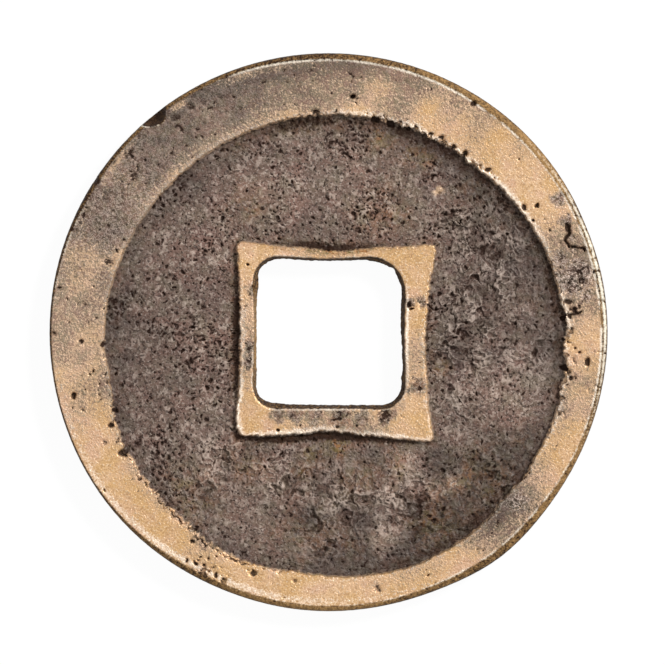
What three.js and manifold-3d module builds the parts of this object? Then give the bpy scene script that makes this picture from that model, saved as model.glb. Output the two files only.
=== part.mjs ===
// A Chinese cash coin: one bronze casting with a square hole, a broad outer rim,
// a sunken field and a narrow inner rim round the hole, on both faces.
// Millimetres, +Z up. The coin lies flat with its plain reverse up, and the origin
// is the centre of its outline on the face that it rests on.
import * as THREE from "three";
import { mergeVertices } from "three/addons/utils/BufferGeometryUtils.js";
import Module from "manifold-3d";

const wasm = await Module();
wasm.setup();

// Overall size
const diameter = 25;
const thickness = 1.3;

// Outer edge, filed round between the two rim faces
const edgeRound = 0.185; // mean run of the rounding across a face
const edgeRise = 0.36; // height of the rounding down the edge

// Square hole, narrowest at half height and flared towards both faces
const holeSide = 6.54;
const holeFlare = 0.22;
const cornerRadius = 0.95; // three of the hole's corners
const wornCornerRadius = 1.5; // the corner at +X +Y

// Rims and fields
const rimWidth = 2.11; // mean width of the broad outer rim
const innerRimWidth = 0.65; // width at the middle of a side, before the shift
const innerRimCorner = 0.3; // radius of the inner rim's outer corners
const fieldDepth = 0.28; // how far each field lies under its rims
const wallDraft = 0.12; // run of a field's wall from its top to its foot

// Each half of the mould sits a little off the outline's centre, and carries the
// rims of its face with it. The inner rim's corners run out past its sides, by
// [along X, along Y] from the corner at +X +Y counter-clockwise.
const reverse = {
  rimShift: [0.27, -0.64],
  innerRimShift: [0.2, -0.4],
  edgeShift: [-0.06, -0.086],
  runOuts: [
    [0.43, 0.13],
    [0.13, 0.27],
    [0.21, 0.17],
    [0.31, 0.33],
  ],
  rimWear: [
    { at: 5, out: 0.14, spread: 4 },
    { at: 52, out: -0.12, spread: 12 },
    { at: 188, out: -0.14, spread: 9 },
    { at: 207, out: 0.12, spread: 4 },
    { at: 226, out: -0.06, spread: 7 },
    { at: 241, out: 0.1, spread: 4 },
    { at: 263, out: -0.12, spread: 9 },
    { at: 292, out: 0.07, spread: 12 },
    { at: 319, out: -0.2, spread: 5 },
    { at: 333, out: -0.11, spread: 7 },
  ],
  // Rings of points across the field's floor, as shares of its radius. The floor is
  // flat inside the first, round the inner rim.
  floorRings: [0.65, 0.7, 0.76, 0.82, 0.88, 0.94],
  // Raised scale and eaten hollows on the floor: the bearing of each from the
  // field's centre, its share of the way to the rim, its height and its spread
  floorRelief: [
    { at: 341, share: 0.78, up: 0.1, spread: 1.1 },
    { at: 305, share: 0.75, up: 0.08, spread: 0.8 },
    { at: 285, share: 0.83, up: 0.08, spread: 0.7 },
    { at: 14, share: 0.74, up: 0.07, spread: 0.7 },
    { at: 221, share: 0.75, up: 0.06, spread: 0.9 },
    { at: 246, share: 0.74, up: 0.05, spread: 0.9 },
    { at: 107, share: 0.8, up: 0.05, spread: 1.3 },
    { at: 73, share: 0.78, up: 0.05, spread: 1.2 },
    { at: 150, share: 0.76, up: 0.05, spread: 1.2 },
    { at: 36, share: 0.86, up: -0.06, spread: 0.9 },
    { at: 268, share: 0.76, up: -0.07, spread: 0.7 },
    { at: 303, share: 0.88, up: -0.07, spread: 0.7 },
    { at: 186, share: 0.87, up: -0.05, spread: 0.9 },
    { at: 0, share: 0.86, up: -0.05, spread: 0.7 },
  ],
};
const obverse = {
  rimShift: [-0.14, 0.2],
  innerRimShift: [-0.08, 0.12],
  edgeShift: [0.05, 0.03],
  runOuts: [
    [0.12, 0.14],
    [0.1, 0.12],
    [0.16, 0.1],
    [0.1, 0.15],
  ],
  rimWear: [
    { at: 70, out: 0.08, spread: 10 },
    { at: 200, out: -0.1, spread: 14 },
  ],
  floorRings: [],
  floorRelief: [],
};

// Swells in the edge, and a chip in its upper corner
const edgeSwells = [
  { at: 307, out: 0.15, spread: 11 },
  { at: 218, out: 0.04, spread: 16 },
];
const chip = { at: 128.6, reach: 0.42, halfWidth: 0.56, drop: 0.62 };

// Steps round a whole circle, round a corner, down the edge's rounding, and round
// and down the chip's ball
const circleSteps = 144;
const cornerSteps = 6;
const edgeSteps = 4;
const ballSteps = [20, 12];

// How far a cutter runs past the metal that it cuts, and how near two points are
// to be one point
const past = 0.2;
const sameSpot = 1e-4;

const radius = diameter / 2;
const turn = 2 * Math.PI;

// How far bumps push an outline out at an angle. Each bump has its angle and its
// spread in degrees and its height in millimetres, and fades on both sides.
function pushedOut(degrees, bumps) {
  return bumps.reduce((sum, { at, out, spread }) => {
    const apart = ((((degrees - at) % 360) + 540) % 360) - 180;
    return sum + out * Math.exp(-((apart / spread) ** 2));
  }, 0);
}

function roundOutline(r, [x, y], bumps) {
  return Array.from({ length: circleSteps }, (_, i) => {
    const share = i / circleSteps;
    const reach = r + pushedOut(share * 360, bumps);
    return new THREE.Vector2(
      x + reach * Math.cos(share * turn),
      y + reach * Math.sin(share * turn),
    );
  });
}

// The hole's outline, grown by some millimetres on every side
function holeOutline(grow) {
  const half = holeSide / 2 + grow;
  const path = new THREE.Path();
  [
    [1, 1, wornCornerRadius],
    [-1, 1, cornerRadius],
    [-1, -1, cornerRadius],
    [1, -1, cornerRadius],
  ].forEach(([sx, sy, cornerR], quarter) => {
    const r = cornerR + grow;
    const start = (quarter * turn) / 4;
    path.absarc(sx * (half - r), sy * (half - r), r, start, start + turn / 4);
  });
  return path.getPoints(cornerSteps);
}

// The inner rim's outline: each side dips to its middle between rounded corners
// that run out. It is grown by some millimetres on every side.
function innerRimOutline({ innerRimShift, runOuts }, grow) {
  const centre = new THREE.Vector2(...innerRimShift);
  const half = holeSide / 2 + holeFlare + innerRimWidth + grow;
  const signs = [
    [1, 1],
    [-1, 1],
    [-1, -1],
    [1, -1],
  ];
  const corners = signs.map(([sx, sy], i) =>
    new THREE.Vector2(sx * (half + runOuts[i][0]), sy * (half + runOuts[i][1])).add(
      centre,
    ),
  );
  // The middle of the side that follows each corner
  const middles = [
    [0, half],
    [-half, 0],
    [0, -half],
    [half, 0],
  ].map(([x, y]) => new THREE.Vector2(x, y).add(centre));
  const towards = (corner, middle) =>
    corner.clone().add(middle.clone().sub(corner).setLength(innerRimCorner + grow));

  const path = new THREE.Path();
  corners.forEach((corner, i) => {
    const enter = towards(corner, middles[(i + 3) % 4]);
    const leave = towards(corner, middles[i]);
    const arrive = towards(corners[(i + 1) % 4], middles[i]);
    const bend = middles[i].clone().multiplyScalar(2);
    bend.sub(leave.clone().add(arrive).multiplyScalar(0.5));
    if (i === 0) path.moveTo(enter.x, enter.y);
    path.quadraticCurveTo(corner.x, corner.y, leave.x, leave.y);
    path.quadraticCurveTo(bend.x, bend.y, arrive.x, arrive.y);
  });
  return path.getPoints(2 * cornerSteps);
}

// A closed solid through outlines of equal length, from the lowest to the highest.
// A section may lift each of its points by a height of its own.
function loft(sections) {
  const rings = sections.map(({ z, outline, lift = () => 0 }) => {
    const closed = outline.at(-1).distanceTo(outline[0]) < sameSpot;
    const points = closed ? outline.slice(0, -1) : outline;
    return points.map((p) => new THREE.Vector3(p.x, p.y, z + lift(p)));
  });
  const count = rings[0].length;
  const index = [];
  for (let level = 0; level < rings.length - 1; level++) {
    for (let i = 0; i < count; i++) {
      const here = level * count + i;
      const beside = level * count + ((i + 1) % count);
      index.push(here, beside, beside + count, here, beside + count, here + count);
    }
  }
  const lid = THREE.ShapeUtils.triangulateShape(sections[0].outline.slice(0, count), []);
  const last = (rings.length - 1) * count;
  for (const [a, b, c] of lid) index.push(a, c, b, last + a, last + b, last + c);
  const geometry = new THREE.BufferGeometry().setFromPoints(rings.flat());
  return geometry.setIndex(index);
}

// A mesh's triangles as a manifold-3d solid, and back
function solid(geometry) {
  const bare = geometry.clone();
  bare.deleteAttribute("normal");
  bare.deleteAttribute("uv");
  const merged = mergeVertices(bare, sameSpot);
  return new wasm.Manifold(
    new wasm.Mesh({
      numProp: 3,
      vertProperties: new Float32Array(merged.attributes.position.array),
      triVerts: new Uint32Array(merged.index.array),
    }),
  );
}

function geometryOf(made) {
  const mesh = made.getMesh();
  const geometry = new THREE.BufferGeometry();
  geometry.setAttribute("position", new THREE.BufferAttribute(mesh.vertProperties, 3));
  geometry.setIndex(new THREE.BufferAttribute(mesh.triVerts, 1));
  geometry.computeVertexNormals();
  return geometry;
}

// The blank: a disc whose edge is rounded over, further on one side of each face
function blank() {
  const section = (z, inset, [x, y]) => {
    const share = inset / edgeRound;
    return {
      z,
      outline: roundOutline(radius - inset, [x * share, y * share], edgeSwells),
    };
  };
  const steps = Array.from({ length: edgeSteps + 1 }, (_, i) => i / edgeSteps);
  const rounding = steps.map((share) => ({
    inset: edgeRound * (1 - Math.sin((share * turn) / 4)),
    rise: edgeRise * (1 - Math.cos((share * turn) / 4)),
  }));
  const lower = rounding.map(({ inset, rise }) =>
    section(rise, inset, obverse.edgeShift),
  );
  const upper = rounding.map(({ inset, rise }) =>
    section(thickness - rise, inset, reverse.edgeShift),
  );
  return solid(loft([...lower, ...upper.reverse()]));
}

// What the hole takes out, from past one face to past the other
function holeCutter() {
  const flareAt = (z) => (holeFlare * Math.abs(z - thickness / 2)) / (thickness / 2);
  const heights = [-past, thickness / 2, thickness + past];
  return solid(loft(heights.map((z) => ({ z, outline: holeOutline(flareAt(z)) }))));
}

// How far scale and corrosion lift a field's floor at a place on it
function floorLift({ rimShift, floorRelief }, fieldRadius, place) {
  return floorRelief.reduce((sum, { at, share, up, spread }) => {
    const angle = (at / 360) * turn;
    const x = rimShift[0] + share * fieldRadius * Math.cos(angle);
    const y = rimShift[1] + share * fieldRadius * Math.sin(angle);
    const apart = Math.hypot(place.x - x, place.y - y);
    return sum + up * Math.exp(-((apart / spread) ** 2));
  }, 0);
}

// What a face's field takes out between the two rims, as if the face were up
function fieldCutter(face) {
  const foot = thickness - fieldDepth;
  const top = thickness + past;
  const fieldRadius = radius - rimWidth;
  const centre = new THREE.Vector2(...face.rimShift);
  const draftAt = (z) => (wallDraft * (thickness - z)) / fieldDepth;
  const bowlSection = (z) => ({
    z,
    outline: roundOutline(fieldRadius - draftAt(z), face.rimShift, face.rimWear),
  });
  const islandSection = (z) => ({ z, outline: innerRimOutline(face, draftAt(z)) });
  const wallFoot = bowlSection(foot);
  const floor = face.floorRings.map((share, ring) => ({
    z: foot,
    outline: wallFoot.outline.map((p) => centre.clone().lerp(p, share)),
    lift: (place) => (ring > 0 ? floorLift(face, fieldRadius, place) : 0),
  }));
  const bowl = loft([...floor, wallFoot, bowlSection(top)]);
  const island = loft([islandSection(foot - past), islandSection(top + past)]);
  return solid(bowl).subtract(solid(island));
}

// The chip's scoop, a ball stretched along the edge and down it. The ball's middle
// is as far outside the edge's arris as the chip reaches inside it.
function chipCutter() {
  const { at, reach, halfWidth, drop } = chip;
  const ball = new THREE.SphereGeometry(1, ...ballSteps);
  ball.scale(2 * reach, halfWidth, drop);
  ball.translate(radius - edgeRound + reach, 0, thickness);
  ball.rotateZ((at / 360) * turn);
  return solid(ball);
}

function castCoin() {
  const upperField = fieldCutter(reverse);
  const lowerField = fieldCutter(obverse)
    .translate([0, 0, -thickness])
    .mirror([0, 0, 1]);
  return [holeCutter(), upperField, lowerField, chipCutter()].reduce(
    (coin, cutter) => coin.subtract(cutter),
    blank(),
  );
}

const bronze = new THREE.MeshStandardMaterial({
  color: new THREE.Color().setRGB(0.3, 0.22, 0.16),
  roughness: 0.55,
  metalness: 0.8,
});

const coin = new THREE.Mesh(geometryOf(castCoin()), bronze);
coin.name = "cash_coin";

const part = new THREE.Group();
part.add(coin);

export default part;
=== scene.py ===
import functools
import itertools
import math
from types import SimpleNamespace

import bpy
import numpy as np
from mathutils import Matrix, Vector
from mathutils.bvhtree import BVHTree


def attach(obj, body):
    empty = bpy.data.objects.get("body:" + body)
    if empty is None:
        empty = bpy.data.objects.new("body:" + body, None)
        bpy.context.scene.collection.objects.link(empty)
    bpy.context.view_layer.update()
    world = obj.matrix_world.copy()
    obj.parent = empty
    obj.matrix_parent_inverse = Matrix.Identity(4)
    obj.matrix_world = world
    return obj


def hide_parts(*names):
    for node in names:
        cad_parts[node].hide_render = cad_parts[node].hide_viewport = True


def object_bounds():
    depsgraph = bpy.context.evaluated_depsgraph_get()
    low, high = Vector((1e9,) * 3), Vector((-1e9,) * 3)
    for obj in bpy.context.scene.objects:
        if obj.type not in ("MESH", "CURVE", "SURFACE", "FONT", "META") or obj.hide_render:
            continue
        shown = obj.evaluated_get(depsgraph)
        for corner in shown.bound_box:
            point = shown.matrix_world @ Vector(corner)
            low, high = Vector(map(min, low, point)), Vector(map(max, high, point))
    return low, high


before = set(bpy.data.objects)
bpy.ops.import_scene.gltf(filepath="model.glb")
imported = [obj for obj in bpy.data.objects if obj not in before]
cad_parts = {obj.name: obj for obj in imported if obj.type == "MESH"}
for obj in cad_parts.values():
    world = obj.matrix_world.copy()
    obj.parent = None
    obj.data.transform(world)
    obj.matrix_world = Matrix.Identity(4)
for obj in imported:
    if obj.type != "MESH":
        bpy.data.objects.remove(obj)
cad_low, cad_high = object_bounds()

# Everything about the metal is worked out in millimetres and turned into metres at
# the end. A place on the coin is x, y from the centre of its outline, and a bearing
# is in degrees from +X towards +Y. A patch is x, y, spread and strength, and an arc
# is bearing, spread and strength.
MM = 0.001
thickness = (cad_high.z - cad_low.z) / MM
radius = (cad_high.x - cad_low.x) / MM / 2

# Quads round the coin, and rows of them along each run of its cross-section
STEPS_ROUND = 1320
HOLE_WALL_ROWS = 10
CORNER_ROWS = 5
INNER_RIM_ROWS = 26
FIELD_WALL_ROWS = 4
FIELD_ROWS = 160
RIM_ROWS = 50
UNDER_FIELD_ROWS = 76
UNDER_RIM_ROWS = 26
EDGE_ROWS = 15
SIDE_ROWS = 12

# Where the field's floor is flat, as a share of the coin's radius, the cells in which
# the floor's height is read, and the upward part of the flattest wall's normal
FLAT_FLOOR = 0.46
FLOOR_CELL = 0.25
FLATTEST_WALL = 0.95

# How far wear has eased each corner of the cross-section, each way from it, and the
# least that the hole's faces are wider than its waist, on each side
HOLE_WAIST_EASE = 0.12
HOLE_ARRIS_EASE = 0.08
ARRIS_EASE = 0.06
FOOT_EASE = 0.05
EDGE_RISE = 0.36
LEAST_FLARE = 0.03

# A distance from the centre that is between the rims, and where the outer rim's
# surface starts to be near its edge and is at it
BETWEEN_RIMS = 7
NEAR_EDGE = (11.0, 12.2)

# How ragged the contours are, and how long the waves in them are
RAGGED = 0.022
RAGGED_WAVES = (0.09, 0.14, 0.3, 0.8)
INNER_RIM_RAGGED = 0.046
HOLE_RAGGED = 0.013

# How far in the hole's narrowest outline starts, because easing it sets it out, and
# bows in it, in the hole's upper arris, in the upper inner rim, in the upper rim's
# inner boundary, in the coin's outline and in the edge's upper arris: bearing, spread
# and how far out
WAIST_IN = 0.072
HOLE_BOWS = [
    (152, 6, -0.06), (145, 5, -0.12), (345, 11, 0.08), (334, 5, 0.06), (268, 20, 0.02),
    (90, 22, -0.03), (121, 6, 0.07), (308, 20, 0.03), (30, 7, 0.05), (44, 3, 0.11),
    (57, 4, -0.06), (223, 5, 0.08), (230, 16, -0.06),
]
HOLE_ARRIS_BOWS = [(90, 36, -0.20), (180, 40, -0.17), (0, 34, -0.08), (270, 34, -0.06)]
INNER_RIM_BOWS = [(86, 17, -0.13), (229, 4, -0.16), (271, 13, -0.13), (0, 24, -0.06)]
RIM_BITES = [(5.3, 1.3, 0.12), (353.0, 1.5, 0.10), (349.0, 1.0, 0.08), (358, 9, -0.07)]
EDGE_BOWS = [(318, 16, 0.04), (48, 14, 0.02), (22, 8, -0.03), (248, 12, -0.03)]
EDGE_WEAR = [
    (247, 24, -0.24), (273, 14, -0.06), (304, 22, -0.22), (8, 30, -0.08),
    (56, 30, -0.08), (92, 14, -0.06), (150, 10, -0.07),
]

# The chip in the upper edge: its bearing, and a ball sunk in from outside the edge,
# which is longer on the side of the higher bearing
CHIP_BEARING = 128.4
CHIP_CENTRE_RADIUS = 12.86
CHIP_REACH = 0.84
CHIP_LONG_SIDE = 0.92
CHIP_SHORT_SIDE = 0.60
CHIP_DROP = 0.70

# Gas holes and corrosion pits on the reverse: x, y, radius and depth
REVERSE_PITS = [
    # top rim
    (1.10, 10.54, 0.13, 0.34), (0.17, 10.67, 0.05, 0.10), (3.03, 11.28, 0.05, 0.08),
    (-0.57, 9.83, 0.24, 0.16), (2.08, 9.52, 0.16, 0.14), (2.80, 9.32, 0.20, 0.14),
    (4.55, 8.86, 0.19, 0.14), (5.02, 8.72, 0.15, 0.14), (5.55, 8.26, 0.13, 0.12),
    (6.12, 7.98, 0.17, 0.14), (7.11, 7.28, 0.20, 0.14), (8.72, 5.62, 0.14, 0.14),
    # top right and right rim
    (6.48, 10.26, 0.13, 0.14), (8.50, 7.71, 0.07, 0.14), (9.31, 5.69, 0.09, 0.18),
    (9.17, 5.01, 0.07, 0.14), (9.89, 4.56, 0.08, 0.07), (11.02, -0.70, 0.10, 0.15),
    (11.20, -0.88, 0.10, 0.15), (11.56, -1.32, 0.15, 0.16), (10.83, -2.05, 0.13, 0.12),
    (11.37, -4.00, 0.05, 0.10), (10.90, -5.45, 0.05, 0.10), (10.70, 4.66, 0.17, 0.11),
    (11.05, 3.60, 0.24, 0.01), (11.44, 3.68, 0.12, 0.20), (10.70, 1.36, 0.13, 0.12),
    (11.02, 0.92, 0.10, 0.16), (10.74, 0.70, 0.12, 0.15), (10.50, 0.62, 0.12, 0.14),
    (10.52, -1.55, 0.15, 0.13),
    # bottom and lower left rim
    (4.44, -10.87, 0.06, 0.12), (4.37, -10.65, 0.04, 0.08), (2.20, -11.50, 0.20, 0.05),
    (-1.50, -11.10, 0.10, 0.07), (-6.11, -9.35, 0.14, 0.11), (-4.99, -10.02, 0.08, 0.12),
    (-6.36, -10.20, 0.09, 0.12), (-5.96, -10.36, 0.10, 0.14), (-5.74, -10.04, 0.07, 0.12),
    (-5.60, -10.46, 0.10, 0.14), (-5.40, -10.20, 0.06, 0.12), (-5.76, -10.76, 0.07, 0.12),
    (-5.34, -10.66, 0.09, 0.14), (-5.10, -10.44, 0.05, 0.12), (-5.04, -10.86, 0.08, 0.13),
    (-4.70, -11.02, 0.07, 0.12), (-4.42, -11.20, 0.06, 0.12), (-3.40, -10.80, 0.14, 0.09),
    (-10.04, -7.10, 0.05, 0.10), (-10.04, -4.90, 0.15, 0.05),
    # left rim and its foot
    (-11.05, -0.42, 0.12, 0.14), (-10.90, 1.30, 0.14, 0.05), (-10.52, -1.72, 0.07, 0.16),
    (-10.64, -1.88, 0.07, 0.16), (-10.26, -2.30, 0.06, 0.15), (-10.26, -2.80, 0.05, 0.13),
    (-11.40, -2.84, 0.14, 0.18), (-10.98, -3.51, 0.13, 0.07), (-11.97, 2.00, 0.06, 0.10),
    (-12.28, -0.02, 0.09, 0.10), (-10.06, -0.55, 0.17, 0.13), (-9.72, -4.14, 0.17, 0.17),
    (-9.14, -5.35, 0.21, 0.18), (-9.54, -3.50, 0.13, 0.14),
    # upper left rim
    (-5.60, 10.30, 0.16, 0.04), (-6.20, 10.08, 0.20, 0.06), (-6.86, 9.60, 0.24, 0.05),
    (-5.87, 9.05, 0.12, 0.08), (-8.28, 8.75, 0.20, 0.02), (-8.85, 8.05, 0.15, 0.08),
    (-9.06, 7.95, 0.14, 0.06), (-8.82, 7.85, 0.13, 0.12), (-9.50, 7.60, 0.20, 0.03),
    (-8.24, 7.70, 0.07, 0.12), (-7.66, 7.48, 0.06, 0.18), (-8.54, 7.30, 0.13, 0.08),
    (-8.71, 6.95, 0.26, 0.07), (-9.27, 6.78, 0.07, 0.06), (-9.17, 4.11, 0.08, 0.10),
    (-10.46, 4.95, 0.08, 0.10), (-10.37, 6.76, 0.20, 0.08), (-9.98, 6.03, 0.26, 0.04),
    (-9.26, 6.12, 0.18, 0.03), (-9.50, 3.68, 0.11, 0.14), (-9.84, 3.12, 0.24, 0.04),
    (-11.10, 4.92, 0.15, 0.04), (-11.48, 4.60, 0.16, 0.06),
    # inner rim
    (-3.40, 2.04, 0.13, 0.08), (-3.62, 3.03, 0.07, 0.15), (-2.29, -4.36, 0.08, 0.18),
    (-2.68, -4.37, 0.05, 0.07), (-1.28, -4.19, 0.06, 0.10), (1.27, -4.16, 0.05, 0.11),
    (3.62, 1.22, 0.15, 0.20), (3.70, 1.02, 0.12, 0.18), (4.15, 1.20, 0.18, 0.03),
]

# Cracks and nicks in the reverse: course, half width and depth
CRACKS = [
    ([(10.62, 4.84), (10.80, 4.50), (10.58, 4.16), (10.76, 3.84), (11.43, 3.74)], 0.09, 0.20),
    ([(10.60, 0.74), (11.05, 0.80), (11.30, 0.92)], 0.06, 0.16),
    ([(12.02, 1.46), (12.45, 1.40)], 0.035, 0.10),
    ([(12.04, -0.90), (12.45, -0.96)], 0.035, 0.10),
    ([(11.95, -2.36), (12.40, -2.50)], 0.045, 0.10),
    ([(8.36, 2.20), (8.39, 0.90), (8.34, -0.55)], 0.035, 0.06),
    ([(4.35, 1.35), (4.65, 0.95), (5.05, 1.05)], 0.06, 0.10),
]

# Patches of patina on both rims
REVERSE_STAINS = [
    # outer rim
    (-7.6, 8.7, 1.6, 0.50), (10.35, 5.9, 0.40, 0.80), (10.65, 5.1, 0.32, 0.70),
    (10.98, 4.35, 0.34, 0.70), (11.25, 2.65, 0.90, 1.00), (10.75, 2.20, 0.90, 1.00),
    (11.45, 1.60, 0.50, 0.85), (10.45, 3.3, 0.60, 0.85), (11.0, 3.8, 0.45, 0.60),
    (11.2, -1.6, 0.60, 0.50), (8.5, -7.6, 0.80, 0.72), (6.6, -9.5, 0.70, 0.50),
    (2.1, -11.4, 0.35, 0.45), (-10.9, 3.3, 0.9, 0.30),
    # inner rim
    (-3.58, -0.65, 0.42, 1.10), (-3.60, -1.30, 0.42, 1.00), (-3.42, 1.90, 0.34, 1.00),
    (-2.2, -3.66, 0.42, 0.85), (-1.5, -3.68, 0.44, 0.95), (-0.7, -3.74, 0.50, 1.05),
    (0.5, -3.78, 0.62, 1.15), (1.5, -3.74, 0.46, 0.95), (2.6, -3.70, 0.46, 1.10),
    (3.62, 1.3, 0.28, 0.90), (4.15, 1.3, 0.32, 1.00), (4.0, -2.4, 0.48, 1.00),
    (3.2, -3.3, 0.30, 0.50), (-3.4, -3.2, 0.4, 0.2),
]

# Patches that have crumbled into small pits
CRUMBLED = [
    (-6.0, -10.5, 0.45, 0.9), (-5.45, -10.8, 0.50, 1.0), (-4.9, -11.1, 0.40, 0.8),
    (11.1, -1.1, 0.55, 0.6), (10.8, -2.0, 0.40, 0.9), (10.9, 1.1, 0.45, 0.7),
    (11.2, 2.5, 0.75, 0.5), (-3.3, -10.75, 0.30, 0.7), (6.6, -9.4, 0.45, 0.4),
]

# Lighter and darker patches of the reverse's field
FIELD_TONES = [
    (1.5, 6.6, 2.6, 0.28), (-2.2, 6.4, 1.4, 0.28), (-5.2, 3.8, 1.5, 0.26),
    (-5.4, -0.5, 1.6, 0.18), (-5.3, -5.2, 1.3, 0.22), (-2.4, -6.4, 1.3, 0.22),
    (8.0, -3.0, 1.6, 0.34), (6.4, 1.4, 2.4, -0.18), (3.5, -5.9, 0.6, 0.45),
    (2.8, -7.2, 0.45, 0.60), (3.8, -7.1, 0.40, 0.70), (4.8, -6.9, 0.40, 0.70),
    (5.6, -6.7, 0.35, 0.50), (1.2, -7.2, 0.5, 0.20), (2.5, -9.1, 0.60, 0.70),
    (2.3, -9.9, 0.5, 0.35), (8.9, -5.2, 1.0, -0.30), (5.2, -6.2, 0.8, -0.30),
    (0.6, -8.9, 0.6, 0.20), (1.5, -8.5, 0.45, -0.50), (4.7, -9.3, 0.9, -0.40),
    (3.8, -7.8, 0.5, -0.45), (-0.8, -8.1, 0.6, -0.50), (2.0, -5.6, 0.6, -0.40),
    (6.8, -5.6, 1.1, -0.35), (0.0, -8.0, 4.0, -0.12), (-9.4, 0.4, 1.6, -0.30),
    (-9.2, -3.2, 1.3, -0.25), (-7.2, 6.6, 1.3, -0.22), (9.6, 3.6, 2.3, -0.36),
    (7.4, 7.0, 1.6, -0.38), (4.2, 8.9, 1.6, -0.38), (10.0, -0.4, 1.1, -0.35),
    (8.2, -6.6, 1.5, -0.42), (5.9, -8.4, 1.3, -0.45), (1.6, -10.6, 2.2, -0.42),
    (4.9, -5.6, 0.7, -0.30), (5.6, -1.0, 0.7, -0.25), (-0.6, 4.8, 1.4, -0.22),
]

# Patches of the reverse's field that are rough with flakes
ROUGH_PLACES = [
    (6.6, 1.2, 2.2, 1.2), (5.6, -0.9, 1.4, 0.9), (7.4, 4.2, 1.6, 0.8), (9.2, -0.8, 1.2, 0.8),
    (5.6, 5.0, 1.2, 0.6), (-2.4, -6.6, 1.9, 0.9), (1.0, -7.8, 1.9, 0.9), (4.4, -8.0, 1.8, 0.9),
    (7.4, -6.4, 1.8, 0.8), (-5.0, -5.4, 1.4, 0.7), (5.6, -3.2, 1.3, 0.7),
    (-6.0, -7.4, 1.4, 0.6), (-0.5, -9.6, 1.4, 0.6),
]

# Patches of yellow-brown dirt left in the reverse's field
REVERSE_DIRT = [
    (0.4, -4.95, 0.65, 1.30), (-0.6, -5.5, 0.6, 0.80), (-1.2, -6.1, 0.45, 0.85),
    (4.4, -8.4, 0.7, 0.80), (1.4, -6.6, 0.9, 0.65), (4.3, 8.2, 0.9, 0.80),
    (2.5, 8.8, 0.8, 0.70), (6.6, 6.4, 0.8, 0.60), (8.0, 5.2, 0.8, 0.45),
    (9.4, 1.6, 0.7, 0.35), (5.1, -1.6, 0.4, 0.90), (7.0, -6.8, 1.7, 0.95),
    (5.0, -8.8, 1.4, 0.95), (1.0, -9.6, 0.9, 0.50), (-1.0, -9.2, 1.6, 0.50),
    (-6.2, -7.4, 1.3, 0.65), (8.8, -5.0, 0.9, 0.45), (-3.8, -6.0, 1.0, 0.50),
    (3.0, -6.0, 0.8, 0.50), (2.6, 5.4, 1.4, 0.35), (-3.6, 5.6, 0.9, 0.35),
]

# The only bare spot in the field: x, y and radius
BARE_SPOT = (4.96, 6.36, 0.30)

# How much of the reverse's rims the patina still covers, in arcs and elsewhere
RIM_PATINA = [
    (119, 56, 1.00), (150, 15, 1.02), (13, 14, 0.68), (315, 14, 0.78), (290, 16, 0.28),
    (345, 12, 0.56), (240, 9, 0.40), (170, 22, 0.58), (195, 12, 0.36), (74, 14, 0.66),
    (60, 20, 0.42),
]
LEAST_PATINA = 0.10
INNER_RIM_PATINA = [(275, 34, 0.58), (184, 40, 0.50), (346, 30, 0.36), (90, 26, 0.42)]
LEAST_INNER_PATINA = 0.14

# Where that patina is worn or thicker along the rim's two margins, and where it flakes
WORN_MARGIN = [(106, 32, 0.35), (138, 14, 0.42), (154, 14, 0.24)]
THICK_MARGIN = [(214, 30, 0.3), (296, 22, 0.1)]
WORN_EDGE = [(106, 10, 1), (123.4, 3, 1.4), (140, 8, 0.8)]
FLAKED = [(150, 24, 0.45), (118, 20, 0.22)]

# Where corrosion has eaten the reverse's rim at its foot, where its margin is rubbed bright and
# carries a painted highlight, and where its edge's arris and the inner rim's margin carry
# painted highlights
EATEN = [(66, 28, 2.0), (232, 28, 2.6), (354, 18, 2.0), (195, 14, 1.0)]
BRUSHED_AND_LIT_MARGIN = [(66, 26, 0.9), (122, 34, 0.27), (40, 22, 0.9), (4, 10, 0.8), (345, 18, 0.5)]
LIT_EDGE = [(5, 34, 1), (68, 34, 1), (98, 16, 0.9), (312, 45, 0.6), (163, 12, 0.5)]
LIT_INNER = [(250, 34, 0.8), (220, 16, 0.9), (300, 26, 0.65), (182, 34, 0.5), (0, 46, 0.25)]

# Painted shade where the inner rim's foot, a band under the rim's wall and a wider one in the
# field are darkened, mostly where the walls would cast shade from the key light, and where the
# edge's side is light, partly by its own tone and partly by painted light where it faces the key
# light
SHADED_INNER_FOOT = [(180, 45, 1.35), (264, 44, 1.9), (90, 38, 1.25), (0, 40, 0.7)]
SHADED_BAND = [(60, 44, 1.05), (94, 26, 1.0), (10, 34, 0.8), (305, 40, 0.8), (180, 40, 0.3)]
SHADED_FOOT = [(35, 50, 1.0), (305, 40, 1.5)]
LIT_SIDE_AND_TONE = [
    (330, 30, 0.6), (268, 50, 0.56), (58, 34, 0.6), (40, 20, 0.72), (12, 30, 0.5), (122, 24, 0.3)
]


def smooth(low, high, value):
    share = np.clip((value - low) / (high - low), 0, 1)
    return share * share * (3 - 2 * share)


def bell(value, width):
    """1 at zero, fading to both sides of it."""
    return np.exp(-((value / width) ** 2))


def strongest(shares):
    return functools.reduce(np.maximum, shares)


def hashed(ix, iy, iz, seed):
    """A number from 0 to 1 for each whole-numbered place, the same on every run."""
    mixed = (ix * 374761393 + iy * 668265263 + iz * 1274126177 + seed * 974634777) & 0xFFFFFFFF
    mixed = ((mixed ^ (mixed >> 13)) * 1274126177) & 0xFFFFFFFF
    mixed = ((mixed ^ (mixed >> 16)) * 2246822519) & 0xFFFFFFFF
    return ((mixed ^ (mixed >> 15)) & 0xFFFFFF) / float(0xFFFFFF)


def lumps(points, size, seed):
    """Smooth noise from -1 to 1, with lumps about size across."""
    scaled = points / size
    cell = np.floor(scaled).astype(np.int64)
    part = scaled - cell
    part = part * part * (3 - 2 * part)
    total = np.zeros(len(points))
    for step in itertools.product((0, 1), repeat=3):
        near = np.abs(1 - np.array(step) - part)
        weight = near[:, 0] * near[:, 1] * near[:, 2]
        total += weight * hashed(*(cell + step).T, seed)
    return 2 * total - 1


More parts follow.
